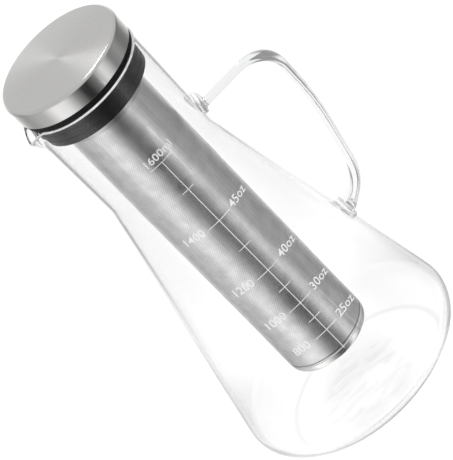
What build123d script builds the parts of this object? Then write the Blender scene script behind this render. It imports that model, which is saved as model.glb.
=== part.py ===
"""Cold brew coffee maker: a conical glass carafe with a strap handle and a pulled
spout, a long filter that hangs in its neck, and a steel lid that plugs the filter.

Frame: millimetres, +Z up, origin on the carafe's axis at the plane it stands on.
The handle is on +X, the spout on -X and the printed scale faces -Y.
"""

import os
from math import acos, atan, atan2, cos, degrees, hypot, radians, sin, tan

from build123d import *

# ---------------------------------------------------------------- glass carafe
rim_height = 232.0
neck_rim_radius = 34.7
neck_foot_radius = 33.8
neck_foot_height = 165.0
cone_foot_radius = 64.8        # where the cone would meet the table, unrounded
neck_blend_radius = 16.0
heel_radius = 11.7
glass_wall = 1.9
floor_thickness = 2.6
rim_round = 0.7
rim_ease = 0.06                # the rounding starts this far off the wall

# spout: a beak pulled out of the neck, with a lip that dips towards its tip
spout_reach = 4.2              # tip of the lip beyond the neck
spout_dip = 8.6                # tip of the lip below the rim
spout_half_width = 12.5        # half the chord of the neck that the beak takes
lip_half_width = 12.5          # half the chord of the rim that dips towards the tip
spout_slope = 30.5             # degrees that the beak leans out from the vertical
spout_tip_radius = 3.2
spout_blend = 3.0              # rounding where the beak leaves the neck
spout_inner_ease = 1.0         # less of it on the inside

# ---------------------------------------------------------------- glass handle
handle_thickness = 5.8
handle_top_width = 14.0
handle_foot_width = 17.0
handle_top_height = 175.6
handle_reach = 76.6            # centre line of the upright run
handle_upright_foot = 135.0    # where the upright run starts to lean in
handle_elbow_reach = 67.4
handle_elbow_height = 86.0
handle_foot_height = 73.6
handle_rise = 1.6              # of the top run, from the neck to its bend
handle_top_bend = 17.0
handle_lean_bend = 150.0
handle_elbow_bend = 25.0
strap_stations = (0, 0.15, 0.35, 0.6, 0.8, 1)
pad_half_width = 9.5
upper_pad_half_height = 5.8
lower_pad_half_height = 7.2
pad_thickness = 2.0
pad_round = 0.9
pad_sink = 6.0                 # how far a pad is drawn into the wall before it is trimmed
weld_flare = 1.2               # radius of the strap's flare into a pad

# ---------------------------------------------------------------- filter
tube_radius = 23.75
tube_sheet = 0.5
filter_foot_height = 26.8      # underside of the filter above the table
cup_height = 5.0
cup_sheet = 0.6
cup_round = 2.2
cup_groove = 0.6
cup_spigot = 5.0
collar_sheet = 0.6
collar_skirt = 6.0             # plain ring that shows under the seal
collar_overlap = 1.5           # skirt above the underside of the seal
collar_flare = 4.4             # height of the flare
mouth_radius = 28.0
lip_width = 3.0

# silicone collar that holds the filter in the neck
flange_radius = 33.8
flange_thickness = 2.1
flange_round = 0.5
plug_depth = 13.2
plug_taper = 1.4
neck_clearance = 0.4
seal_groove = 0.5
seal_groove_width = 0.9
seal_grooves = 2

# ---------------------------------------------------------------- lid
lid_radius = 35.0
cap_height = 10.7
cap_sheet = 0.8
cap_round = 1.2
gasket_radius = 34.1
gasket_thickness = 1.7
gasket_round = 0.4
core_clearance = 0.1
core_corner = 0.6              # chamfer that clears the round inside the cap
core_wall = 2.0
core_ribs = 6
core_rib_width = 1.6
core_hub_radius = 6.0
stopper_depth = 9.5
mouth_clearance = 1.4          # between the stopper and the filter's mouth
ring_height = 5.2
ring_groove_depth = 1.2
ring_body = 1.5
ring_lips = 3
ring_lip_thickness = 0.8
lip_clearance = 0.3

# ---------------------------------------------------------------- derived levels
cone_tilt = degrees(atan((cone_foot_radius - neck_foot_radius) / neck_foot_height))
flange_top = rim_height + flange_thickness
gasket_top = flange_top + gasket_thickness
lid_top = gasket_top + cap_height
plug_foot = rim_height - plug_depth
cup_top = filter_foot_height + cup_height
sleeve_foot = cup_top + cup_groove
collar_radius = tube_radius + collar_sheet
flare_foot = plug_foot + collar_overlap
flare_top = flare_foot + collar_flare
sleeve_top = flare_foot
stopper_radius = mouth_radius - mouth_clearance
stopper_foot = flange_top - stopper_depth

os.makedirs("parts", exist_ok=True)


def write_part(part, name):
    """Label a finished piece and write it to its own STEP file."""
    part.label = name
    export_step(part, f"parts/{name}.step")


def glass_radius(height):
    """Outer radius of the glass at a height, without its blends."""
    if height < neck_foot_height:
        return cone_foot_radius - height * tan(radians(cone_tilt))
    share = (height - neck_foot_height) / (rim_height - neck_foot_height)
    return neck_foot_radius + share * (neck_rim_radius - neck_foot_radius)


def vertex_at(sketch, radius, height):
    """The vertex of a profile, in the profile's own plane, at this radius and height."""
    return sketch.vertices().sort_by_distance((radius, height, 0))[0]


# ================================================================ carafe body
neck_inner_radius = neck_rim_radius - glass_wall
wall_across_cone = glass_wall / cos(radians(cone_tilt))
floor_radius = glass_radius(floor_thickness) - wall_across_cone
waist_radius = neck_foot_radius - wall_across_cone
above_rim = rim_height + glass_wall

with BuildPart() as glass_outside:
    with BuildSketch(Plane.XZ) as outside_profile:
        with BuildLine():
            Polyline(
                (0, 0),
                (cone_foot_radius, 0),
                (neck_foot_radius, neck_foot_height),
                (neck_rim_radius, rim_height),
                (0, rim_height),
                close=True,
            )
        make_face()
        fillet(vertex_at(outside_profile, cone_foot_radius, 0), radius=heel_radius)
        fillet(vertex_at(outside_profile, neck_foot_radius, neck_foot_height), radius=neck_blend_radius)
    revolve(axis=Axis.Z)

with BuildPart() as glass_inside:
    with BuildSketch(Plane.XZ) as inside_profile:
        with BuildLine():
            Polyline(
                (0, floor_thickness),
                (floor_radius, floor_thickness),
                (waist_radius, neck_foot_height),
                (neck_inner_radius, rim_height),
                (neck_inner_radius, above_rim),
                (0, above_rim),
                close=True,
            )
        make_face()
        fillet(vertex_at(inside_profile, floor_radius, floor_thickness), radius=heel_radius - glass_wall)
        fillet(
            vertex_at(inside_profile, waist_radius, neck_foot_height),
            radius=neck_blend_radius + glass_wall,
        )
    revolve(axis=Axis.Z)

# The beak's ridge runs from inside the neck wall up and out to above the rim.
spout_tip_x = -(neck_rim_radius + spout_reach)
spout_tip_height = rim_height - spout_dip
spout_foot_height = spout_tip_height - (spout_reach + glass_wall) / tan(radians(spout_slope))
lip_start_x = -((neck_rim_radius**2 - lip_half_width**2) ** 0.5)
spout_root_x = glass_wall - (neck_rim_radius**2 - spout_half_width**2) ** 0.5


def ridge_x(height):
    """Where the beak's outer ridge is at a height."""
    return spout_tip_x - (height - spout_tip_height) * tan(radians(spout_slope))


def beak_outline(height, inset):
    """Plan of the beak at a height: a rounded tip between two straight flanks."""
    tip_x = ridge_x(height) + inset / cos(radians(spout_slope))
    tip_radius = spout_tip_radius - inset / 2
    half_width = spout_half_width - inset
    root_x = spout_root_x + inset
    centre_x = tip_x + tip_radius
    # where a flank from the neck touches the rounded tip, as an angle from the tip's centre
    to_root = atan2(half_width, root_x - centre_x)
    touch = to_root + acos(tip_radius / hypot(root_x - centre_x, half_width))
    touch_x = centre_x + tip_radius * cos(touch)
    touch_y = tip_radius * sin(touch)
    with BuildSketch(Plane.XY.offset(height)) as outline:
        with BuildLine():
            Line((root_x, -half_width), (root_x, half_width))
            Line((root_x, half_width), (touch_x, touch_y))
            ThreePointArc((touch_x, touch_y), (tip_x, 0), (touch_x, -touch_y))
            Line((touch_x, -touch_y), (root_x, -half_width))
        make_face()
    return outline.sketch


def blend_beak(vessel, wall_radius, radius):
    """Round the seams where the beak leaves the neck, which lie on the neck's wall."""
    seams = [
        edge
        for edge in vessel.edges().filter_by(GeomType.BSPLINE)
        if abs(hypot((edge @ 0.5).X, (edge @ 0.5).Y) - wall_radius) < glass_wall / 4
        and (edge @ 0.5).Z < rim_height
    ]
    fillet(seams, radius=radius)


with BuildPart() as vessel_outside:
    add(glass_outside.part)
    loft([beak_outline(spout_foot_height, 0), beak_outline(rim_height, 0)])
    blend_beak(vessel_outside, neck_rim_radius, spout_blend)

with BuildPart() as vessel_inside:
    add(glass_inside.part)
    loft([beak_outline(spout_foot_height, glass_wall), beak_outline(above_rim, glass_wall)])
    blend_beak(vessel_inside, neck_inner_radius, spout_blend - spout_inner_ease)

with BuildPart() as carafe_body:
    add(vessel_outside.part)
    add(vessel_inside.part, mode=Mode.SUBTRACT)
    # the lip dips along a slanting plane from the rim to the beak's tip
    with BuildSketch(Plane.XZ):
        with BuildLine():
            Polyline(
                (lip_start_x, above_rim),
                (lip_start_x, rim_height),
                (spout_tip_x, spout_tip_height),
                (2 * spout_tip_x, spout_tip_height),
                (2 * spout_tip_x, above_rim),
                close=True,
            )
        make_face()
    extrude(amount=neck_rim_radius, both=True, mode=Mode.SUBTRACT)
    # the rim is fire-polished: both edges of the wall are rounded over
    with BuildSketch(Plane.XZ):
        with Locations((neck_inner_radius - rim_round, rim_height - rim_round)):
            Rectangle(glass_wall + 2 * rim_round, 2 * rim_round, align=(Align.MIN, Align.MIN))
        with Locations((neck_inner_radius - rim_ease, rim_height)):
            RectangleRounded(
                glass_wall + 2 * rim_ease,
                4 * rim_round,
                rim_round,
                align=(Align.MIN, Align.MAX),
                mode=Mode.SUBTRACT,
            )
    revolve(axis=Axis.Z, mode=Mode.SUBTRACT)

write_part(carafe_body.part, "carafe_body")

# ================================================================ handle
# A flat strap of glass, bent into a bow and fused to the neck and the cone.
neck_wall_x = glass_radius(handle_top_height)
cone_wall_x = glass_radius(handle_foot_height)

with BuildLine(Plane.XZ) as bow:
    FilletPolyline(
        (neck_wall_x, handle_top_height),
        (handle_reach, handle_top_height + handle_rise),
        (handle_reach, handle_upright_foot),
        (handle_elbow_reach, handle_elbow_height),
        (cone_wall_x, handle_foot_height),
        radius=(handle_top_bend, handle_lean_bend, handle_elbow_bend),
    )
bow_line = bow.wires()[0]


def strap_section(share):
    """The strap's cross-section, a share of the way along the bow."""
    width = handle_top_width + share * (handle_foot_width - handle_top_width)
    place = Plane(origin=bow_line @ share, x_dir=(0, 1, 0), z_dir=bow_line % share)
    with BuildSketch(place) as section:
        SlotOverall(width, handle_thickness)
    return section.sketch


def foot_pad(plane, half_height):
    """An elliptical pad, pressed against the wall on the plane, with its outer edge rounded."""
    with BuildPart() as pad:
        with BuildSketch(plane):
            Ellipse(pad_half_width, half_height)
        extrude(amount=pad_thickness)
        fillet(pad.faces().sort_by(Axis.X)[-1].edges(), radius=pad_round)
        with BuildSketch(plane):
            Ellipse(pad_half_width, half_height)
        extrude(amount=-pad_sink)
    return pad.part


upper_pad_plane = Plane(origin=(neck_wall_x, 0, handle_top_height), x_dir=(0, 1, 0), z_dir=(1, 0, 0))
lower_pad_plane = Plane(
    origin=(cone_wall_x, 0, handle_foot_height),
    x_dir=(0, 1, 0),
    z_dir=(cos(radians(cone_tilt)), 0, sin(radians(cone_tilt))),
)

upper_pad = foot_pad(upper_pad_plane, upper_pad_half_height)
lower_pad = foot_pad(lower_pad_plane, lower_pad_half_height)

with BuildPart() as strap:
    sweep([strap_section(share) for share in strap_stations], path=bow_line, multisection=True)

with BuildPart() as handle:
    add([strap.part, upper_pad, lower_pad])
    weld_seams = new_edges(strap.part, upper_pad, lower_pad, combined=handle.part)
    fillet(weld_seams, radius=weld_flare)
    add(glass_outside.part, mode=Mode.SUBTRACT)

write_part(handle.part, "handle")

# ================================================================ filter
# sleeve: the etched sheet, rolled into a tube
with BuildPart() as filter_sleeve:
    with BuildSketch(Plane.XY.offset(sleeve_foot)):
        Circle(tube_radius)
        Circle(tube_radius - tube_sheet, mode=Mode.SUBTRACT)
    extrude(amount=sleeve_top - sleeve_foot)

write_part(filter_sleeve.part, "filter_sleeve")

# base cup: a drawn cap with a spigot that is pressed into the sleeve
spigot_radius = tube_radius - tube_sheet
spigot_top = sleeve_foot + cup_spigot

with BuildPart() as filter_base_cup:
    with BuildSketch(Plane.XZ) as cup_profile:
        with BuildLine():
            Polyline(
                (0, filter_foot_height),
                (tube_radius, filter_foot_height),
                (tube_radius, cup_top),
                (spigot_radius, cup_top),
                (spigot_radius, spigot_top),
                (spigot_radius - cup_sheet, spigot_top),
                (spigot_radius - cup_sheet, filter_foot_height + cup_sheet),
                (0, filter_foot_height + cup_sheet),
                close=True,
            )
        make_face()
        fillet(vertex_at(cup_profile, tube_radius, filter_foot_height), radius=cup_round)
        fillet(
            vertex_at(cup_profile, spigot_radius - cup_sheet, filter_foot_height + cup_sheet),
            radius=cup_round,
        )
    revolve(axis=Axis.Z)

write_part(filter_base_cup.part, "filter_base_cup")

# collar: a plain steel ring over the sleeve's top, flared to a wide mouth with a flat lip
collar_top_radius = mouth_radius + collar_sheet
lip_radius = collar_top_radius + lip_width
lip_underside = flange_top - collar_sheet
skirt_foot = plug_foot - collar_skirt

with BuildPart() as filter_collar:
    with BuildSketch(Plane.XZ) as collar_profile:
        with BuildLine():
            Polyline(
                (tube_radius, skirt_foot),
                (collar_radius, skirt_foot),
                (collar_radius, flare_foot),
                (collar_top_radius, flare_top),
                (collar_top_radius, lip_underside),
                (lip_radius, lip_underside),
                (lip_radius, flange_top),
                (mouth_radius, flange_top),
                (mouth_radius, flare_top),
                (tube_radius - tube_sheet, flare_foot),
                (tube_radius, flare_foot),
                close=True,
            )
        make_face()
    revolve(axis=Axis.Z)

write_part(filter_collar.part, "filter_collar")

# seal: a silicone collar round the steel one, with a flange that lies on the glass rim
plug_radius = neck_inner_radius - neck_clearance
groove_pitch = plug_depth / (seal_grooves + 1)

with BuildPart() as filter_seal:
    with BuildSketch(Plane.XZ) as seal_profile:
        with BuildLine():
            Polyline(
                (collar_radius, plug_foot),
                (plug_radius - plug_taper, plug_foot),
                (plug_radius, rim_height),
                (flange_radius, rim_height),
                (flange_radius, flange_top),
                (lip_radius, flange_top),
                (lip_radius, lip_underside),
                (collar_top_radius, lip_underside),
                (collar_top_radius, flare_top),
                (collar_radius, flare_foot),
                close=True,
            )
        make_face()
        fillet(vertex_at(seal_profile, flange_radius, flange_top), radius=flange_round)
    revolve(axis=Axis.Z)
    for groove in range(1, seal_grooves + 1):
        groove_height = plug_foot + groove * groove_pitch
        groove_wall = plug_radius - plug_taper * (1 - groove / (seal_grooves + 1))
        with BuildSketch(Plane.XY.offset(groove_height - seal_groove_width / 2)):
            Circle(plug_radius + seal_groove)
            Circle(groove_wall - seal_groove, mode=Mode.SUBTRACT)
        extrude(amount=seal_groove_width, mode=Mode.SUBTRACT)

write_part(filter_seal.part, "filter_seal")

# ================================================================ lid
cap_foot = gasket_top
cap_inner_radius = lid_radius - cap_sheet
core_top = lid_top - cap_sheet

with BuildPart() as lid_cap:
    with BuildSketch(Plane.XZ) as cap_profile:
        with BuildLine():
            Polyline(
                (0, core_top),
                (cap_inner_radius, core_top),
                (cap_inner_radius, cap_foot),
                (lid_radius, cap_foot),
                (lid_radius, lid_top),
                (0, lid_top),
                close=True,
            )
        make_face()
        fillet(vertex_at(cap_profile, lid_radius, lid_top), radius=cap_round)
        fillet(vertex_at(cap_profile, cap_inner_radius, core_top), radius=cap_round - cap_sheet)
    revolve(axis=Axis.Z)

write_part(lid_cap.part, "lid_cap")

# core: a moulded disc bonded inside the cap, with the stopper as a cup on its underside
core_radius = cap_inner_radius - core_clearance
core_floor_top = cap_foot + core_wall
ring_foot = stopper_foot + (flange_top - stopper_foot - ring_height) / 2
ring_groove_radius = stopper_radius - ring_groove_depth
cup_inner_radius = ring_groove_radius - core_wall

with BuildPart() as lid_core:
    with BuildSketch(Plane.XZ) as core_profile:
        with BuildLine():
            Polyline(
                (0, stopper_foot),
                (stopper_radius, stopper_foot),
                (stopper_radius, ring_foot),
                (ring_groove_radius, ring_foot),
                (ring_groove_radius, ring_foot + ring_height),
                (stopper_radius, ring_foot + ring_height),
                (stopper_radius, cap_foot),
                (core_radius, cap_foot),
                (core_radius, core_top),
                (core_radius - core_wall, core_top),
                (core_radius - core_wall, core_floor_top),
                (cup_inner_radius, core_floor_top),
                (cup_inner_radius, stopper_foot + core_wall),
                (0, stopper_foot + core_wall),
                close=True,
            )
        make_face()
        chamfer(vertex_at(core_profile, core_radius, core_top), length=core_corner)
    revolve(axis=Axis.Z)
    # hub and ribs that carry the cap's top
    with BuildSketch(Plane.XY.offset(stopper_foot + core_wall)):
        Circle(core_hub_radius)
        Circle(core_hub_radius - core_wall, mode=Mode.SUBTRACT)
        with PolarLocations(0, core_ribs):
            with Locations(((cup_inner_radius + core_hub_radius - core_wall / 2) / 2, 0)):
                Rectangle(cup_inner_radius - core_hub_radius + core_wall, core_rib_width)
    extrude(amount=core_top - stopper_foot - core_wall)
    with BuildSketch(Plane.XY.offset(core_floor_top)):
        with PolarLocations(0, core_ribs):
            with Locations(((core_radius + cup_inner_radius - core_wall) / 2, 0)):
                Rectangle(core_radius - cup_inner_radius, core_rib_width)
    extrude(amount=core_top - core_floor_top)

write_part(lid_core.part, "lid_core")

# gasket: the flat silicone ring between the cap's edge and the filter's flange
with BuildPart() as lid_gasket:
    with BuildSketch(Plane.XY.offset(flange_top)):
        Circle(gasket_radius)
        Circle(stopper_radius, mode=Mode.SUBTRACT)
    extrude(amount=gasket_thickness)
    fillet(lid_gasket.edges().filter_by(GeomType.CIRCLE).sort_by(SortBy.RADIUS)[-2:], radius=gasket_round)

write_part(lid_gasket.part, "lid_gasket")

# stopper ring: a lipped silicone ring in the stopper's groove
ring_radius = ring_groove_radius + ring_body
ring_lip_radius = mouth_radius - lip_clearance
ring_lip_pitch = (ring_height - ring_lip_thickness) / (ring_lips - 1)

with BuildPart() as stopper_ring:
    with BuildSketch(Plane.XY.offset(ring_foot)):
        Circle(ring_radius)
        Circle(ring_groove_radius, mode=Mode.SUBTRACT)
    extrude(amount=ring_height)
    for lip in range(ring_lips):
        with BuildSketch(Plane.XY.offset(ring_foot + lip * ring_lip_pitch)):
            Circle(ring_lip_radius)
            Circle(ring_groove_radius, mode=Mode.SUBTRACT)
        extrude(amount=ring_lip_thickness)

write_part(stopper_ring.part, "stopper_ring")
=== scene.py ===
"""Looks of the cold brew coffee maker: clear glass, turned and etched steel, black silicone.

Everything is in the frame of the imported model: metres, +Z up, origin on the carafe's axis
at the plane it stands on, handle on +X, spout on -X, printed scale on -Y.
"""

from math import atan2, ceil, cos, hypot, pi, radians, sin, sqrt, tan

import bmesh
import bpy
from mathutils import Matrix, Vector


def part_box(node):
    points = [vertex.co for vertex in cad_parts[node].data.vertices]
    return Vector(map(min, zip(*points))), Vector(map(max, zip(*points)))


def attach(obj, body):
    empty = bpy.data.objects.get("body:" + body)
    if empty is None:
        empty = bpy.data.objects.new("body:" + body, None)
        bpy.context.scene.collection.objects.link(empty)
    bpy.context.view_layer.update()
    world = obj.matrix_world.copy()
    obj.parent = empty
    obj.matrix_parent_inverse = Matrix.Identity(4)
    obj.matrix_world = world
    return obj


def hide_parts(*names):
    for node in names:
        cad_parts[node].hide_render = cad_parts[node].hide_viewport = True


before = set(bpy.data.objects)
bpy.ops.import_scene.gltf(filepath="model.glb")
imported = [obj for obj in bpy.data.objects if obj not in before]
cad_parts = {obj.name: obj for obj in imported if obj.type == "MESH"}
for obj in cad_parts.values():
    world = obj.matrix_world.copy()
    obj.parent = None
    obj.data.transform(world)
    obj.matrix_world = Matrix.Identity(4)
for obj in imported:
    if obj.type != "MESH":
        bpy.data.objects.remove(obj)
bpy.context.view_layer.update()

MM = 0.001
AROUND = 256                       # faces round a turned piece
MERGE = 1e-6
SHARP = radians(32)                # edges turned more than this stay crisp

# ---------------------------------------------------------------- sizes, in millimetres
rim_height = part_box("carafe_body")[1].z / MM
neck_rim_radius = 34.7
neck_foot_radius = 33.8
neck_foot_height = 165.0
cone_foot_radius = 64.8
neck_blend = 45.0
heel_round = 11.7
glass_wall = 1.9
floor_thickness = 2.6
rim_round = 0.85
punt_radius = 38.0                 # the base is pushed up a little inside this radius
punt_rise = 1.4
punt_shoulder = 0.6                # share of the rise that is left at the punt's edge
punt_skirt = 7.0                   # from the punt's edge out to the flat that the vessel stands on
punt_blend = 20.0
vessel_around = 512                # faces round the vessel, close enough for clear glass
cone_slope = (cone_foot_radius - neck_foot_radius) / neck_foot_height

spout_reach = 4.2
spout_dip = 8.6
spout_lean = tan(radians(30.5))
spout_flank = 0.95                 # how far the beak falls back for each millimetre off its ridge
spout_tip_radius = 2.4
spout_blend = 1.8
lip_half_width = 16.0              # how far round the rim the lip still dips
lip_ridge_round = 1.2
lip_fall = 1.3                     # how steeply the dip eases away from the ridge
spout_height = 26.0                # the glass is drawn out from this far below the rim
spout_side = 24.0                  # glass further round than this isn't moved
spout_wall_gain = 0.16             # the leaning wall is this much thicker, measured level

tube_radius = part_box("filter_sleeve")[1].x / MM
tube_sheet = 0.5
skin_gap = 0.02                    # left between two skins that touch


# ================================================================ shapes
def rounded(corners, step_degrees=9, closed=True):
    """The points of an outline whose corners are (x, y) or (x, y, round)."""
    points = []
    count = len(corners)
    for index, corner in enumerate(corners):
        here = Vector(corner[:2])
        if len(corner) < 3 or (not closed and index in (0, count - 1)):
            points.append(here)
            continue
        to_before = (Vector(corners[index - 1][:2]) - here).normalized()
        to_after = (Vector(corners[(index + 1) % count][:2]) - here).normalized()
        half = to_before.angle(to_after) / 2
        reach = corner[2] / tan(half)
        centre = here + (to_before + to_after).normalized() * corner[2] / sin(half)
        first = here + to_before * reach - centre
        last = here + to_after * reach - centre
        turn = pi - 2 * half
        steps = max(2, ceil(turn / radians(step_degrees)))
        for step in range(steps + 1):
            share = step / steps
            swing = (first * sin((1 - share) * turn) + last * sin(share * turn)) / sin(turn)
            points.append(centre + swing)
    return points


def face_outwards(shape):
    bmesh.ops.recalc_face_normals(shape, faces=shape.faces)
    if shape.calc_volume(signed=True) < 0:
        bmesh.ops.reverse_faces(shape, faces=shape.faces)


def turned(points, steps=AROUND):
    """A closed solid of revolution about Z, from the points of its outline in millimetres."""
    shape = bmesh.new()
    verts = [shape.verts.new((p.x * MM, 0, p.y * MM)) for p in points]
    pairs = zip(verts, verts[1:] + verts[:1])
    edges = [shape.edges.new(pair) for pair in pairs if pair[0].co.x + pair[1].co.x > MERGE]
    bmesh.ops.spin(
        shape,
        geom=verts + edges,
        cent=(0, 0, 0),
        axis=(0, 0, 1),
        dvec=(0, 0, 0),
        angle=2 * pi,
        steps=steps,
        use_merge=True,
        use_duplicate=False,
    )
    bmesh.ops.remove_doubles(shape, verts=shape.verts, dist=MERGE)
    face_outwards(shape)
    return shape


def piece(name, shape, body, finish, slot, *stands_for):
    """Makes an object of a finished shape, which rides on a body and stands for CAD nodes."""
    mesh = bpy.data.meshes.new(name)
    shape.to_mesh(mesh)
    shape.free()
    mesh.polygons.foreach_set("use_smooth", [True] * len(mesh.polygons))
    mesh.set_sharp_from_angle(angle=SHARP)
    mesh.materials.append(finish)
    made = bpy.data.objects.new(name, mesh)
    bpy.context.scene.collection.objects.link(made)
    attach(made, body)
    if stands_for:
        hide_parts(*stands_for)
    return made


def ease(value):
    """A smooth step from 0 to 1."""
    value = min(1, max(0, value))
    return value * value * (3 - 2 * value)


def soft_max(a, b, blend):
    """The larger of two numbers, rounded over where they are within a blend of each other."""
    near = max(0, blend - abs(a - b)) / blend
    return max(a, b) + near * near * blend / 4


# ================================================================ finishes
class Value:
    """A number's socket in a node tree. Arithmetic on it adds Math nodes."""

    def __init__(self, tree, socket):
        self.tree = tree
        self.socket = socket

    def maths(self, operation, *values):
        return self.tree.add("ShaderNodeMath", {"operation": operation}, *values)

    def __add__(self, other):
        return self.maths("ADD", self, other)

    def __sub__(self, other):
        return self.maths("SUBTRACT", self, other)

    def __rsub__(self, other):
        return self.maths("SUBTRACT", other, self)

    def __mul__(self, other):
        return self.maths("MULTIPLY", self, other)

    def __truediv__(self, other):
        return self.maths("DIVIDE", self, other)

    def above(self, other):
        return self.maths("GREATER_THAN", self, other)

    def below(self, other):
        return self.maths("LESS_THAN", self, other)

    def most(self, other):
        return self.maths("MAXIMUM", self, other)


class Tree:
    """A node tree, to which nodes are added with their settings and inputs."""

    def __init__(self, owner):
        owner.use_nodes = True
        self.nodes = owner.node_tree.nodes
        self.links = owner.node_tree.links
        self.nodes.clear()

    def add(self, kind, settings, *values, output=0, **named):
        """A node of a kind: its settings first, then the values or links of its inputs."""
        node = self.nodes.new(kind)
        for name, setting in settings.items():
            if name == "stops":
                self.set_stops(node.color_ramp.elements, setting)
            else:
                setattr(node, name, setting)
        inputs = dict(enumerate(values))
        inputs.update({name.replace("_", " "): value for name, value in named.items()})
        for name, value in inputs.items():
            if isinstance(value, Value):
                self.links.new(value.socket, node.inputs[name])
            elif value is not None:
                node.inputs[name].default_value = value
        return Value(self, node.outputs[output])

    @staticmethod
    def set_stops(elements, stops):
        while len(elements) < len(stops):
            elements.new(1)
        for element, (place, grey) in zip(elements, stops):
            element.position = place
            element.color = (grey, grey, grey, 1)

    def split(self, vector):
        """The three numbers of a vector."""
        first = self.add("ShaderNodeSeparateXYZ", {}, vector)
        outputs = first.socket.node.outputs
        return [Value(self, outputs[axis]) for axis in range(3)]

    def join(self, x, y, z):
        return self.add("ShaderNodeCombineXYZ", {}, x, y, z)

    def smooth(self, value, low, high, to_low=0.0, to_high=1.0):
        """A smooth step of value from low to high, scaled to a range."""
        return self.add(
            "ShaderNodeMapRange",
            {"interpolation_type": "SMOOTHSTEP"},
            value,
            low,
            high,
            to_low,
            to_high,
        )

    def light_path(self, output):
        return self.add("ShaderNodeLightPath", {}, output=output)

    def place(self):
        """The point being shaded, in the piece's own coordinates."""
        return self.add("ShaderNodeTexCoord", {}, output="Object")


class Finish(Tree):
    """A material with one main shader."""

    def __init__(self, name, **values):
        self.material = bpy.data.materials.new(name)
        super().__init__(self.material)
        self.main = self.add("ShaderNodeBsdfPrincipled", {}, **values).socket.node
        self.surface = Value(self, self.main.outputs[0])
        self.out = self.nodes.new("ShaderNodeOutputMaterial")
        self.show(self.surface)

    def show(self, shader):
        self.links.new(shader.socket, self.out.inputs["Surface"])

    def feed(self, name, value):
        self.links.new(value.socket, self.main.inputs[name])

    def bump(self, height, distance, strength=1.0):
        normal = self.add(
            "ShaderNodeBump", {}, Strength=strength, Distance=distance, Height=height
        )
        self.feed("Normal", normal)


def clear_glass(name, density):
    """Borosilicate glass, with the faint grey that builds up along a long path inside it."""
    finish = Finish(
        name,
        Base_Color=(1, 1, 1, 1),
        Roughness=0.0,
        IOR=1.473,
        Transmission_Weight=1.0,
    )
    # light that has bounced about inside the wall more than five times is let out of it
    trapped = finish.light_path("Ray Depth").above(5.5)
    lamps_pass = finish.light_path("Is Shadow Ray").most(trapped)
    clear = finish.add("ShaderNodeBsdfTransparent", {}, Color=(0.97, 0.97, 0.97, 1))
    finish.show(finish.add("ShaderNodeMixShader", {}, lamps_pass, finish.surface, clear))
    tint = finish.add(
        "ShaderNodeVolumeAbsorption", {}, Color=(0.42, 0.44, 0.45, 1), Density=density
    )
    finish.links.new(tint.socket, finish.out.inputs["Volume"])
    return finish.material


def ground_edge(name):
    """A milky white skin on the rim's edge: a painted highlight for the bright line that runs
    along the rim.
    """
    finish = Finish(name, Base_Color=(0.92, 0.92, 0.92, 1), Roughness=0.3, Alpha=0.6)
    grain = finish.add("ShaderNodeTexNoise", {}, Vector=finish.place(), Scale=300.0, Detail=2.0)
    finish.feed("Alpha", finish.smooth(grain, 0.3, 0.7, 0.45, 0.75))
    return finish.material


def turning_marks(finish, pitch_mm):
    """Fine rings that follow a lathe's tool, as a number about 0.5, on flats and on rounds."""
    x, y, z = finish.split(finish.place())
    radius = (x * x + y * y).maths("SQRT", x * x + y * y)
    ring_place = finish.join(radius * (1000 / pitch_mm), z * (1000 / pitch_mm), 0.0)
    return finish.add(
        "ShaderNodeTexNoise",
        {"noise_dimensions": "2D"},
        Vector=ring_place,
        Scale=1.0,
        Detail=3.0,
        Roughness=0.6,
    )


def turned_steel(name, grey, roughness, pitch_mm, streak, anisotropic=0.85):
    """Stainless steel with rings left by brushing on a lathe."""
    finish = Finish(
        name,
        Base_Color=(grey, grey * 0.992, grey * 0.98, 1),
        Metallic=1.0,
        Roughness=roughness,
        Anisotropic=anisotropic,
        Anisotropic_Rotation=0.25,
    )
    marks = turning_marks(finish, pitch_mm)
    rough = finish.smooth(marks, 0.2, 0.8, roughness - streak, roughness + streak)
    finish.feed("Roughness", rough)
    level = finish.smooth(marks, 0.25, 0.75, grey * (1 - streak), grey * (1 + streak))
    finish.feed("Base Color", finish.join(level, level * 0.992, level * 0.98))
    return finish.material


def etched_steel(name):
    """Thin stainless sheet, etched with close rows of fine round holes."""
    grey = 0.84
    hole_share = 0.58                  # how bright a hole is, against the sheet between holes
    hole_pitch = 1.0 * MM
    finish = Finish(
        name,
        Base_Color=(grey, grey, grey, 1),
        Metallic=1.0,
        Roughness=0.36,
        Anisotropic=0.5,
        Anisotropic_Rotation=0.25,
    )
    x, y, z = finish.split(finish.place())
    around = x.maths("ARCTAN2", x, y) * (tube_radius * MM)
    row = (z / hole_pitch).maths("FLOOR", z / hole_pitch)
    shift = row.maths("MODULO", row, 2.0) * 0.5
    across = (around / hole_pitch) + shift
    u = across.maths("FRACT", across) - 0.5
    v = (z / hole_pitch).maths("FRACT", z / hole_pitch) - 0.5
    away = (u * u + v * v).maths("SQRT", u * u + v * v)
    hole = finish.smooth(away, 0.18, 0.32)
    level = hole.maths("MULTIPLY_ADD", hole, grey * (1 - hole_share), grey * hole_share)
    patches = finish.add("ShaderNodeTexNoise", {}, Vector=finish.place(), Scale=150.0, Detail=4.0)
    lines = finish.add(
        "ShaderNodeTexNoise",
        {"noise_dimensions": "2D"},
        Vector=finish.join(around * 1500, z * 18, 0.0),
        Scale=1.0,
        Detail=2.0,
    )
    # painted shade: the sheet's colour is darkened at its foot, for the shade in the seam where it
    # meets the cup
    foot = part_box("filter_sleeve")[0].z
    level = level * finish.smooth(z, foot + 0.4 * MM, foot + 1.2 * MM, 0.3, 1.0)
    patchy = finish.smooth(patches, 0.35, 0.65, 0.93, 1.07)
    lined = finish.smooth(lines, 0.35, 0.65, 0.93, 1.04)
    level = level * (patchy * lined)
    finish.feed("Base Color", finish.join(level, level, level))
    finish.bump(hole, 0.05 * MM, 0.35)
    return finish.material


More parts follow.
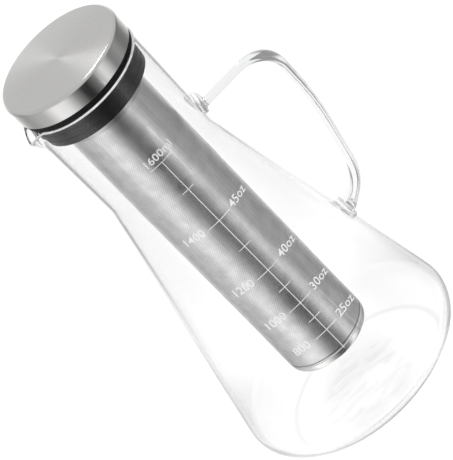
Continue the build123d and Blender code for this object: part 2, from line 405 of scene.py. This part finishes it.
def silicone(name):
    """Satin black silicone with a faint bloom."""
    finish = Finish(
        name,
        Base_Color=(0.005, 0.005, 0.0055, 1),
        Roughness=0.5,
        IOR=1.27,
    )
    grain = finish.add("ShaderNodeTexNoise", {}, Vector=finish.place(), Scale=900.0, Detail=3.0)
    finish.feed("Roughness", finish.smooth(grain, 0.3, 0.7, 0.46, 0.56))
    level = finish.smooth(grain, 0.3, 0.7, 0.004, 0.006)
    finish.feed("Base Color", finish.join(level, level, level * 1.05))
    return finish.material


def moulded_plastic(name):
    """Black moulded plastic with a fine spark-eroded grain."""
    finish = Finish(name, Base_Color=(0.03, 0.03, 0.03, 1), Roughness=0.5)
    grain = finish.add("ShaderNodeTexNoise", {}, Vector=finish.place(), Scale=1500.0, Detail=2.0)
    finish.feed("Roughness", finish.smooth(grain, 0.3, 0.7, 0.44, 0.58))
    finish.bump(grain, 0.03 * MM, 0.3)
    return finish.material


def enamel(name):
    """White enamel, screen printed and fired, a little uneven."""
    finish = Finish(name, Base_Color=(0.9, 0.9, 0.89, 1), Roughness=0.35)
    grain = finish.add("ShaderNodeTexNoise", {}, Vector=finish.place(), Scale=1400.0, Detail=2.0)
    level = finish.smooth(grain, 0.25, 0.75, 0.82, 0.94)
    finish.feed("Base Color", finish.join(level, level, level))
    return finish.material


vessel_glass = clear_glass("vessel_glass", 10.0)
strap_glass = clear_glass("strap_glass", 12.0)
# painted highlight: a milky white skin that brightens the rim's edge
painted_rim_highlight = ground_edge("painted_rim_highlight")
lid_steel = turned_steel("lid_steel", 0.62, 0.2, 0.2, 0.025)
collar_steel = turned_steel("collar_steel", 0.6, 0.3, 0.5, 0.06, 0.6)
cup_steel = turned_steel("cup_steel", 0.9, 0.1, 0.5, 0.02, 0.3)
sleeve_steel = etched_steel("sleeve_steel")
seal_rubber = silicone("seal_rubber")
core_plastic = moulded_plastic("core_plastic")
scale_enamel = enamel("scale_enamel")


# ================================================================ the glass vessel
def vessel_outline():
    """Half the section of the vessel: up the outside, over the rim and down the inside."""
    inset = glass_wall * sqrt(1 + cone_slope**2)
    floor_radius = cone_foot_radius - floor_thickness * cone_slope - inset
    # rows of faces up the neck, for the beak to be drawn out of
    first_level = neck_foot_height + 36
    levels = [first_level + row * 1.25 for row in range(24)]
    swell = (neck_rim_radius - neck_foot_radius) / (rim_height - neck_foot_height)
    neck = [(neck_foot_radius + (level - neck_foot_height) * swell, level) for level in levels]
    return rounded(
        [
            (0, punt_rise),
            (punt_radius, punt_rise * punt_shoulder, punt_blend),
            (punt_radius + punt_skirt, 0, punt_blend),
            (cone_foot_radius, 0, heel_round),
            (neck_foot_radius, neck_foot_height, neck_blend),
        ]
        + neck
        + [
            (neck_rim_radius, rim_height, rim_round),
            (neck_rim_radius - glass_wall, rim_height, rim_round),
        ]
        + [(radius - glass_wall, level) for radius, level in reversed(neck)]
        + [
            (neck_foot_radius - inset, neck_foot_height, neck_blend + glass_wall),
            (floor_radius, floor_thickness, heel_round - glass_wall),
            (punt_radius + punt_skirt, floor_thickness, punt_blend),
            (punt_radius - 1, floor_thickness + punt_rise * punt_shoulder, punt_blend),
            (0, floor_thickness + punt_rise),
        ],
        step_degrees=5,
    )


def beak_reach(y, height):
    """How far the pulled beak's outer face stands from the axis, at a distance y off its ridge."""
    tip = spout_flank**2 * spout_tip_radius
    tip_height = rim_height - spout_dip
    ridge = neck_rim_radius + spout_reach + (height - tip_height) * spout_lean
    return ridge + tip - hypot(tip, spout_flank * y)


def lip_dip(y):
    """How far the rim dips below its level, at a distance y off the beak's ridge."""
    share = min(1, (hypot(y, lip_ridge_round) - lip_ridge_round) / lip_half_width)
    return spout_dip * (1 - share) ** lip_fall


def pull_spout(shape):
    """Draws the lip at -X outwards and down into a beak, as a glass blower does."""
    start = rim_height - spout_height
    for vert in shape.verts:
        x, y, z = (value / MM for value in vert.co)
        if z < start or x > 0 or abs(y) > spout_side:
            continue
        z -= lip_dip(y) * ease((z - start) / (rim_height - start))
        depth = neck_rim_radius - hypot(x, y)
        flare = 1 + depth / glass_wall * spout_wall_gain
        x = -soft_max(-x, beak_reach(y, z) - depth * flare, spout_blend)
        vert.co = Vector((x, y, z)) * MM
    face_outwards(shape)


def rim_outline():
    """The section of the painted highlight's skin, on the outer half of the rim's round."""
    centre = Vector((neck_rim_radius - rim_round, rim_height - rim_round))
    turns = [radians(degrees_up) for degrees_up in range(5, 66, 10)]
    outer_gap, inner_gap = 0.04, 0.01
    outer = [centre + Vector((cos(turn), sin(turn))) * (rim_round + outer_gap) for turn in turns]
    inner = [centre + Vector((cos(turn), sin(turn))) * (rim_round + inner_gap) for turn in turns]
    return outer + inner[::-1]


for name, outline, finish, nodes in (
    ("carafe_glass", vessel_outline(), vessel_glass, ["carafe_body"]),
    # the rim's skin carries the painted highlight along the rim
    ("carafe_rim", rim_outline(), painted_rim_highlight, []),
):
    blown = turned(outline, vessel_around)
    pull_spout(blown)
    piece(name, blown, "carafe", finish, "carafe_glass", *nodes)


def vessel_radius(height):
    """Outer radius of the vessel at a height, without its blends."""
    if height < neck_foot_height:
        return cone_foot_radius - height * cone_slope
    swell = (neck_rim_radius - neck_foot_radius) / (rim_height - neck_foot_height)
    return neck_foot_radius + (height - neck_foot_height) * swell


# ================================================================ the glass handle
strap_thickness = 5.8
strap_top_width = 16.5
strap_foot_width = 17.5
strap_top_height = 175.6
strap_foot_height = 73.6
strap_rise = 1.6                   # of the top run, from the neck to its bend
strap_reach = 76.6                 # centre line of the upright run
upright_foot = 135.0               # where the upright run starts to lean in
elbow_reach = 67.4
elbow_height = 86.0
top_bend, lean_bend, elbow_bend = 17.0, 150.0, 25.0
strap_around = 48                  # faces round the strap
strap_fullness = 0.95              # below 1 the section is fuller than an ellipse
pad_half_width = 9.5
pad_half_heights = (5.8, 5.6)
pad_thickness = 2.0
pad_round = 0.9
weld_flare = 1.2
weld_run = 9.0                     # how far from its weld the strap starts to lean with the wall
clear_of_weld = 1.0                # least distance from a weld's flare to the next ring
pad_sink = 0.3
ring_spacing = 1.2
round_steps = 4                    # rings over a pad's round, and up a weld's flare

strap_corners = [
    (vessel_radius(strap_top_height), strap_top_height),
    (strap_reach, strap_top_height + strap_rise, top_bend),
    (strap_reach, upright_foot, lean_bend),
    (elbow_reach, elbow_height, elbow_bend),
    (vessel_radius(strap_foot_height), strap_foot_height),
]


def pad_rings(weld, normal, along, half_height, half_strap, out_sign=1):
    """The rings of a weld: out of the wall, over the pad's round and up the strap's flare."""
    square = normal.dot(along)
    # a ring starts on the side that the strap's rings start on, whichever way the strap runs
    up = Vector((-normal.z, 0, normal.x)) * out_sign
    lean = up.dot(along) / square
    rings = []

    def ring(out, shift, half_width, half_tall, is_strap):
        centre = Vector((weld.x, 0, weld.y)) + up * shift
        rings.append(("wall", centre, up, normal, out, half_width, half_tall, is_strap))

    pad_shift = lean * pad_thickness / 2
    ring(-pad_sink, pad_shift, pad_half_width, half_height, False)
    for step in range(round_steps + 2):
        turn = max(0, step - 1) / round_steps * pi / 2
        inward = pad_round * (1 - cos(turn))
        out = (pad_thickness - pad_round) * min(step, 1) + pad_round * sin(turn)
        ring(out, pad_shift, pad_half_width - inward, half_height - inward, False)
    for step in range(round_steps + 1):
        turn = step / round_steps * pi / 2
        spread = weld_flare * (1 - sin(turn))
        out = pad_thickness + weld_flare * (1 - cos(turn))
        half_tall = strap_thickness / 2 / square + spread
        ring(out, lean * out, half_strap + spread, half_tall, True)
    return rings


def make_strap():
    """A straight unit tube, whose rings are then set out from one weld to the other."""
    corners = rounded(strap_corners, step_degrees=4, closed=False)
    path = []
    for before, after in zip(corners, corners[1:]):
        steps = ceil((after - before).length / ring_spacing)
        path += [before.lerp(after, step / steps) for step in range(steps)]
    path.append(corners[-1])
    lengths = [0.0]
    for before, after in zip(path, path[1:]):
        lengths.append(lengths[-1] + (after - before).length)
    top_normal = Vector((1, 0, 0))
    foot_normal = Vector((1, 0, cone_slope)).normalized()
    weld_depth = pad_thickness + weld_flare + clear_of_weld
    ways = [
        Vector((after.x - before.x, 0, after.y - before.y)).normalized()
        for before, after in ((path[0], path[1]), (path[-1], path[-2]))
    ]
    rings = pad_rings(path[0], top_normal, ways[0], pad_half_heights[0], strap_top_width / 2)
    for index in range(1, len(path) - 1):
        if not weld_depth < lengths[index] < lengths[-1] - weld_depth:
            continue
        along = (path[index + 1] - path[index - 1]).normalized()
        share = lengths[index] / lengths[-1]
        width = strap_top_width + share * (strap_foot_width - strap_top_width)
        # near a weld the rings lean over until they lie along the wall
        lean = 0
        for normal, depth in (
            (top_normal, lengths[index]),
            (foot_normal, lengths[-1] - lengths[index]),
        ):
            weight = ease(1 - (depth - weld_depth) / weld_run)
            if weight > 0:
                across = along.y * normal.x - along.x * normal.z
                lean -= weight * across / (along.x * normal.x + along.y * normal.z)
        rings.append(("strap", path[index], along, width / 2, lean))
    foot = pad_rings(
        path[-1], foot_normal, ways[1], pad_half_heights[1], strap_foot_width / 2, out_sign=-1
    )
    rings += reversed(foot)
    shape = bmesh.new()
    bmesh.ops.create_circle(shape, cap_ends=False, radius=1, segments=strap_around)
    edges = list(shape.edges)
    for _ in rings[1:]:
        grown = bmesh.ops.extrude_edge_only(shape, edges=edges)["geom"]
        edges = [item for item in grown if isinstance(item, bmesh.types.BMEdge)]
        moved = [item for item in grown if isinstance(item, bmesh.types.BMVert)]
        bmesh.ops.translate(shape, verts=moved, vec=(0, 0, 1))
    bmesh.ops.holes_fill(shape, edges=[edge for edge in shape.edges if edge.is_boundary])
    for vert in shape.verts:
        vert.co = strap_point(rings[round(vert.co.z)], atan2(vert.co.y, vert.co.x)) * MM
    face_outwards(shape)
    return shape


def full_round(share):
    """Fills an ellipse out a little towards its box, from the sine or cosine of an angle."""
    return abs(share) ** strap_fullness * (1 if share > 0 else -1)


def strap_point(ring, angle):
    """Where the strap's skin is, on a ring, at an angle about the strap's own line."""
    side = cos(angle)
    rise = sin(angle)
    if ring[0] == "strap":
        centre, along, half_width, lean = ring[1:]
        over = Vector((along.y, 0, -along.x)) + Vector((along.x, 0, along.y)) * lean
        y = full_round(side) * half_width
        return Vector((centre.x, y, centre.y)) - over * (full_round(rise) * strap_thickness / 2)
    middle, up, normal, out, half_width, half_tall, is_strap = ring[1:]
    if is_strap:
        side = full_round(side)
        rise = full_round(rise)
    y = side * half_width
    point = middle + up * (rise * half_tall)
    wall = vessel_radius(point.z)
    point.x = sqrt(wall**2 - y**2)
    point.y = y
    return point + normal * out


piece("handle_glass", make_strap(), "carafe", strap_glass, "handle_glass", "handle")


# ================================================================ the printed scale
print_lift = 0.04
scale_turn = radians(1.9)          # how far the scale is printed round towards the handle
mark_width = 0.35
long_mark = 14.8
short_mark = 7.8
scale_foot = 50.7
figure_size = 6.2
figure_lift = 0.7                  # middle of the figures above their mark
ounces_across = 15.0               # middle of the figures, round from the scale's line
millilitres_across = -15.4
top_across = 0.9
top_lift = 4.1
# heights of the long marks, with the volume in millilitres and in fluid ounces, which are
# rounded down to fives; the vessel holds about these volumes at 1.1 times this size
scale_marks = ((142.0, 1400, 45), (106.7, 1200, 40), (83.2, 1000, 30), (63.9, 800, 25))
full_mark = (185.0, "1600ml")
short_marks = (164.1, 123.7, 94.6, 72.8)


def wrap(shape):
    """Lays a flat drawing, in millimetres round and up the vessel, on the vessel's outside."""
    for vert in shape.verts:
        around, _, height = vert.co
        radius = vessel_radius(height) + print_lift + vert.co.y
        angle = around / vessel_radius(height) + scale_turn
        vert.co = Vector((sin(angle) * radius, -cos(angle) * radius, height)) * MM


def bar(shape, width, height, middle):
    """A printed bar, centred on the scale's line, with its middle at a height."""
    made = bmesh.ops.create_grid(shape, x_segments=12, y_segments=8, size=0.5)["verts"]
    bmesh.ops.scale(shape, verts=made, vec=(width, height, 1))
    bmesh.ops.rotate(shape, verts=made, matrix=Matrix.Rotation(pi / 2, 3, "X"))
    bmesh.ops.translate(shape, verts=made, vec=(0, 0, middle))


def words(shape, text, across, height):
    """Printed figures, with their middle at a place round the vessel and a height."""
    curve = bpy.data.curves.new("figures", "FONT")
    curve.body = text
    curve.size = figure_size
    curve.align_x = "CENTER"
    curve.align_y = "CENTER"
    curve.offset = 0.04
    curve.resolution_u = 3
    holder = bpy.data.objects.new("figures", curve)
    mesh = bpy.data.meshes.new_from_object(holder)
    mesh.transform(Matrix.Translation((across, 0, height)) @ Matrix.Rotation(pi / 2, 4, "X"))
    shape.from_mesh(mesh)
    bpy.data.objects.remove(holder)
    bpy.data.curves.remove(curve)


def printed_scale():
    """A line with long and short marks across it, and figures at the long ones."""
    shape = bmesh.new()
    top, top_words = full_mark
    bar(shape, mark_width, top - scale_foot, (top + scale_foot) / 2)
    bar(shape, long_mark, mark_width, top)
    words(shape, top_words, top_across, top + top_lift)
    for height, millilitres, ounces in scale_marks:
        bar(shape, long_mark, mark_width, height)
        words(shape, f"{ounces}oz", ounces_across, height + figure_lift)
        words(shape, str(millilitres), millilitres_across, height + figure_lift)
    for height in short_marks:
        bar(shape, short_mark, mark_width, height)
    wrap(shape)
    return shape


piece("printed_scale", printed_scale(), "carafe", scale_enamel, "scale_print")

# ================================================================ the filter
cup_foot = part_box("filter_base_cup")[0].z / MM
cup_top = cup_foot + 5.0
cup_sheet = 0.6
cup_round = 3.2
cup_shoulder = cup_top - 0.4       # the cup's edge, which leaves a dark line under the sleeve
spigot_height = 5.0
collar_sheet = 0.6
sleeve_foot, sleeve_top = (corner.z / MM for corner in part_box("filter_sleeve"))
flange_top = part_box("filter_seal")[1].z / MM
plug_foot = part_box("filter_seal")[0].z / MM
skirt_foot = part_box("filter_collar")[0].z / MM
collar_radius = tube_radius + collar_sheet
spigot_radius = tube_radius - tube_sheet
flare_foot = sleeve_top
flare_height = 4.4
flare_top = flare_foot + flare_height
mouth_radius = 28.0
lip_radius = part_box("filter_collar")[1].x / MM

sleeve = rounded(
    [
        (tube_radius, sleeve_foot),
        (tube_radius, sleeve_top),
        (spigot_radius, sleeve_top),
        (spigot_radius, sleeve_foot),
    ]
)
piece("filter_tube", turned(sleeve), "filter", sleeve_steel, "etched_steel", "filter_sleeve")

cup = rounded(
    [
        (0, cup_foot),
        (tube_radius, cup_foot, cup_round),
        (tube_radius, cup_shoulder, 0.25),
        (spigot_radius - skin_gap, cup_shoulder),
        (spigot_radius - skin_gap, sleeve_foot + spigot_height),
        (spigot_radius - cup_sheet, sleeve_foot + spigot_height),
        (spigot_radius - cup_sheet, cup_foot + cup_sheet, cup_round - cup_sheet),
        (0, cup_foot + cup_sheet),
    ]
)
piece("filter_cup", turned(cup), "filter", cup_steel, "polished_steel", "filter_base_cup")

collar = rounded(
    [
        (tube_radius + skin_gap, skirt_foot),
        (collar_radius, skirt_foot, 0.2),
        (collar_radius, flare_foot, 1.0),
        (mouth_radius + collar_sheet, flare_top, 1.0),
        (mouth_radius + collar_sheet, flange_top - collar_sheet),
        (lip_radius, flange_top - collar_sheet),
        (lip_radius, flange_top, 0.2),
        (mouth_radius, flange_top, 0.5),
        (mouth_radius, flare_top, 1.0),
        (spigot_radius, flare_foot + skin_gap, 0.5),
        (tube_radius + skin_gap, flare_foot + skin_gap),
    ]
)
piece("filter_ring", turned(collar), "filter", collar_steel, "collar_steel", "filter_collar")

neck_clearance = 0.4
plug_radius = neck_rim_radius - glass_wall - neck_clearance
plug_taper = 1.4
plug_depth = rim_height - plug_foot
plug_grooves = 2
groove_depth = 0.5
groove_half_width = 0.45
groove_round = 0.15
flange_radius = 33.8
collar_bed = 0.62                  # sheet of the steel collar, and the gap to it


def seal_wall():
    """The plug's outer wall, from its foot up, with two round-edged grooves."""
    corners = []
    for number in range(1, plug_grooves + 1):
        share = number / (plug_grooves + 1)
        height = plug_foot + number * plug_depth / (plug_grooves + 1)
        radius = plug_radius - plug_taper * (1 - share)
        corners += [
            (radius - 0.07, height - groove_half_width, groove_round),
            (radius - groove_depth, height - groove_half_width),
            (radius - groove_depth, height + groove_half_width),
            (radius + 0.03, height + groove_half_width, groove_round),
        ]
    return corners


seal = rounded(
    [
        (collar_radius + skin_gap, plug_foot),
        (plug_radius - plug_taper, plug_foot, 0.5),
        *seal_wall(),
        (plug_radius, rim_height, 0.25),
        (flange_radius, rim_height),
        (flange_radius, flange_top, 0.5),
        (lip_radius + skin_gap, flange_top),
        (lip_radius + skin_gap, flange_top - collar_bed),
        (mouth_radius + collar_bed, flange_top - collar_bed),
        (mouth_radius + collar_bed, flare_top),
        (collar_radius + skin_gap, flare_foot),
    ]
)
piece("filter_seal_ring", turned(seal), "filter", seal_rubber, "seal_silicone", "filter_seal")

# ================================================================ the lid
gasket_foot, gasket_top = (corner.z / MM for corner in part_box("lid_gasket"))
lid_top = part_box("lid_cap")[1].z / MM
lid_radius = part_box("lid_cap")[1].x / MM
cap_sheet = 0.8
cap_round = 2.0
cap_edge_round = 0.3
gasket_radius = 34.1
gasket_round = 0.4
stopper_radius = mouth_radius - 1.4

cap = rounded(
    [
        (0, lid_top),
        (lid_radius, lid_top, cap_round),
        (lid_radius, gasket_top, cap_edge_round),
        (lid_radius - cap_sheet, gasket_top, cap_edge_round),
        (lid_radius - cap_sheet, lid_top - cap_sheet, 0.4),
        (0, lid_top - cap_sheet),
    ]
)
piece("lid_shell", turned(cap), "lid", lid_steel, "brushed_steel", "lid_cap")

gasket = rounded(
    [
        (stopper_radius + skin_gap, gasket_foot + skin_gap),
        (gasket_radius, gasket_foot + skin_gap, gasket_round),
        (gasket_radius, gasket_top - skin_gap, gasket_round),
        (stopper_radius + skin_gap, gasket_top - skin_gap),
    ]
)
piece("lid_seal", turned(gasket), "lid", seal_rubber, "gasket_silicone", "lid_gasket")

for node, finish in (("lid_core", core_plastic), ("stopper_ring", seal_rubber)):
    for material_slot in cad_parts[node].material_slots:
        material_slot.material = finish


# ================================================================ the studio
card_level = 0.3                   # how bright the black cards at the sides look
front_level = 0.15                 # how bright the black card on the table in front looks
card_edges = (0.45, 0.8)           # how far sideways a ray points where a card starts and is full
ambient = 0.75                     # what the studio adds to dull surfaces
overhead_level = 0.76

# on the table, in metres
table_radius = 6.0
table_drop = 0.0002                # keeps the table clear of the glass
table_cards_middle = 0.02
table_card_edges = (0.12, 0.22)
front_card = (-0.48, -0.35)        # from and to, on Y
line_lamp_azimuth = 26             # degrees from -Y towards +X
line_lamp_level = 2.2
line_lamp_reach = (0.25, 0.385)    # from and to, out from the carafe's axis
ring_shift = 0.0146                # how far the foot's ring of light lies towards -Y
ring_radius = 0.0455
ring_strength = 0.11               # share of the light that the ring takes away
ripple_strength = 0.08
ripple_spread = (0.02, 0.036)      # where the ripples start to fade and are gone
tent_top = 1.5                     # the brightest part of the tent


def tent(tree, x, y):
    """How bright the light tent is, as metal shows it, and the share of the way round it."""
    stops = (
        # degrees from -Y towards +X, brightness
        (-180, 1.5),
        (-160, 1.3),
        (-140, 0.65),
        (-120, 0.4),
        (-100, 0.55),
        (-80, 0.62),
        (-60, 1.15),
        (-40, 1.0),
        (-20, 0.3),
        (-6, 0.03),
        (4, 0.02),
        (20, 0.22),
        (36, 1.0),
        (46, 0.75),
        (60, 0.25),
        (80, 0.38),
        (100, 0.22),
        (120, 0.26),
        (140, 0.7),
        (160, 1.3),
        (180, 1.5),
    )
    around = x.maths("ARCTAN2", x, y * -1.0) / (2 * pi) + 0.5
    ramp_stops = [(turn / 360 + 0.5, level / tent_top) for turn, level in stops]
    ramp = tree.add("ShaderNodeValToRGB", {"stops": ramp_stops}, around)
    return ramp * tent_top, around


def studio_light(tree, tent_wall, past_cards):
    """What a ray finds, and whether it lights a dull surface.

    The camera finds white, metal finds the tent and glass finds black cards at the sides. A ray
    mirrored by metal has passed no glass skin, or four where the metal is behind the glass. One
    that is mirrored after one to three skins was mirrored inside the glass wall.
    """
    seen = tree.light_path("Is Camera Ray")
    diffuse = tree.light_path("Is Diffuse Ray")
    inside_wall = tree.light_path("Transmission Depth") - 2.0
    in_metal = tree.light_path("Glossy Depth").above(0.5) * inside_wall.maths(
        "ABSOLUTE", inside_wall
    ).above(1.5)
    bent = in_metal * tent_wall + (1 - in_metal) * past_cards
    return seen + (1 - seen) * bent, diffuse


def make_world():
    """The studio all round, which only shows in metal and glass."""
    world = bpy.data.worlds.new("studio")
    bpy.context.scene.world = world
    world.cycles.sampling_method = "NONE"
    tree = Tree(world)
    x, y, z = tree.split(tree.add("ShaderNodeTexCoord", {}, output="Generated"))
    overhead = tree.smooth(z, 0.08, 0.42)
    tent_wall = tent(tree, x, y)[0] * (1 - overhead) + overhead * overhead_level
    past_cards = tree.smooth(x.maths("ABSOLUTE", x), *card_edges, 1.0, card_level)
    shown, diffuse = studio_light(tree, tent_wall, past_cards)
    shown = diffuse * ambient + (1 - diffuse) * shown
    background = tree.add("ShaderNodeBackground", {}, tree.join(shown, shown, shown), 1.0)
    out = tree.nodes.new("ShaderNodeOutputWorld")
    tree.links.new(background.socket, out.inputs["Surface"])


def caustics(tree, x, y):
    """The faint ring and ripples that the thick glass of the foot throws on the table."""
    forward = y + ring_shift
    off_middle = (x * x + forward * forward).maths("SQRT", x * x + forward * forward)
    off_ring = off_middle - ring_radius
    ring = tree.smooth(off_ring.maths("ABSOLUTE", off_ring), 0.0004, 0.0022, ring_strength, 0.0)
    ripples = tree.add(
        "ShaderNodeTexNoise",
        {"noise_dimensions": "2D"},
        Vector=tree.join(x * 65, y * 190, 0.0),
        Scale=1.0,
        Detail=2.0,
        Distortion=0.6,
    )
    middle = tree.smooth(off_middle, *ripple_spread, ripple_strength, 0.0)
    return ring + middle * tree.smooth(ripples, 0.48, 0.62)


def make_floor():
    """A white table that keeps a faint shadow."""
    finish = Finish("table", Base_Color=(0.3, 0.3, 0.3, 1), Roughness=1.0, IOR=1.0)
    x, y, _ = finish.split(finish.place())
    sideways = x - table_cards_middle
    sideways = sideways.maths("ABSOLUTE", sideways)
    past_cards = finish.smooth(sideways, *table_card_edges, 1.0, card_level)
    on_front_card = y.above(front_card[0]) * y.below(front_card[1])
    past_cards = past_cards * (1 - on_front_card * (1 - front_level))
    past_cards = past_cards * (1 - caustics(finish, x, y))
    tent_wall, around = tent(finish, x, y)
    off_line = around - (line_lamp_azimuth / 360 + 0.5)
    off_line = off_line.maths("ABSOLUTE", off_line)
    reach = (x * x + y * y).maths("SQRT", x * x + y * y)
    nearest, furthest = line_lamp_reach
    line_lamp = finish.smooth(off_line, 0.001, 0.005, line_lamp_level, 0.0)
    off_glass = finish.light_path("Transmission Depth").below(0.5)
    line_lamp = line_lamp * off_glass * reach.above(nearest) * reach.below(furthest)
    shown, diffuse = studio_light(finish, tent_wall + line_lamp, past_cards)
    lit = finish.add("ShaderNodeEmission", {}, (1, 1, 1, 1), shown * (1 - diffuse) * 0.78)
    shaded = shown * 0.3
    finish.feed("Base Color", finish.join(shaded, shaded, shaded))
    finish.show(finish.add("ShaderNodeAddShader", {}, finish.surface, lit))
    shape = bmesh.new()
    bmesh.ops.create_circle(shape, cap_ends=True, radius=table_radius, segments=96)
    mesh = bpy.data.meshes.new("table")
    shape.to_mesh(mesh)
    shape.free()
    mesh.materials.append(finish.material)
    table_top = bpy.data.objects.new("table", mesh)
    bpy.context.scene.collection.objects.link(table_top)
    table_top.location.z = -table_drop


def make_lamp(name, azimuth, elevation, distance, width, height, power, in_metal):
    """A soft box aimed at the middle of the carafe. Azimuth is in degrees from -Y towards +X."""
    lamp = bpy.data.lights.new(name, "AREA")
    lamp.shape = "RECTANGLE"
    lamp.size = width
    lamp.size_y = height
    lamp.energy = power
    holder = bpy.data.objects.new(name, lamp)
    bpy.context.scene.collection.objects.link(holder)
    flat = cos(radians(elevation)) * distance
    middle = Vector((0, 0, 0.12))
    place = middle + Vector(
        (
            sin(radians(azimuth)) * flat,
            -cos(radians(azimuth)) * flat,
            sin(radians(elevation)) * distance,
        )
    )
    facing = (middle - place).to_track_quat("-Z", "Y")
    holder.matrix_world = Matrix.Translation(place) @ facing.to_matrix().to_4x4()
    holder.visible_camera = False
    holder.visible_glossy = in_metal
    holder.visible_transmission = False


def make_camera():
    """A long lens, looking down at the carafe, rolled so that it lies across the picture."""
    focal_pixels = 4002.05             # focal length, in pixels of a picture this many high
    picture_height = 460
    distance = 1.9726
    elevation = radians(30.17)
    roll = radians(-44.262)
    yaw = 0.0003
    pitch = -0.0059
    look_height = 0.1264
    place = Vector((0, -distance * cos(elevation), look_height + distance * sin(elevation)))
    ahead = Vector((0, cos(elevation), -sin(elevation)))
    right = Vector((1, 0, 0))
    up = right.cross(ahead)
    ahead = (ahead + yaw * right + pitch * up).normalized()
    right = (right - right.dot(ahead) * ahead).normalized()
    up = right.cross(ahead)
    rolled_right = cos(roll) * right + sin(roll) * up
    rolled_up = cos(roll) * up - sin(roll) * right
    camera = bpy.data.cameras.new("camera")
    camera.sensor_fit = "VERTICAL"
    camera.sensor_height = 36
    camera.lens = focal_pixels * camera.sensor_height / picture_height
    camera.clip_end = 20
    holder = bpy.data.objects.new("camera", camera)
    bpy.context.scene.collection.objects.link(holder)
    turn = Matrix((rolled_right, rolled_up, -ahead)).transposed()
    holder.matrix_world = Matrix.Translation(place) @ turn.to_4x4()
    bpy.context.scene.camera = holder


make_world()
make_floor()
for name, azimuth, elevation, distance, width, height, power, in_metal in (
    ("overhead", 162, 64, 1.1, 0.07, 0.4, 2.0, True),
    ("left_box", -35, 35, 1.3, 0.35, 0.9, 8, False),
    ("right_box", 62, 30, 1.3, 0.2, 0.8, 4, False),
):
    make_lamp(name, azimuth, elevation, distance, width, height, power, in_metal)
make_camera()
bpy.context.scene.view_settings.view_transform = "Standard"
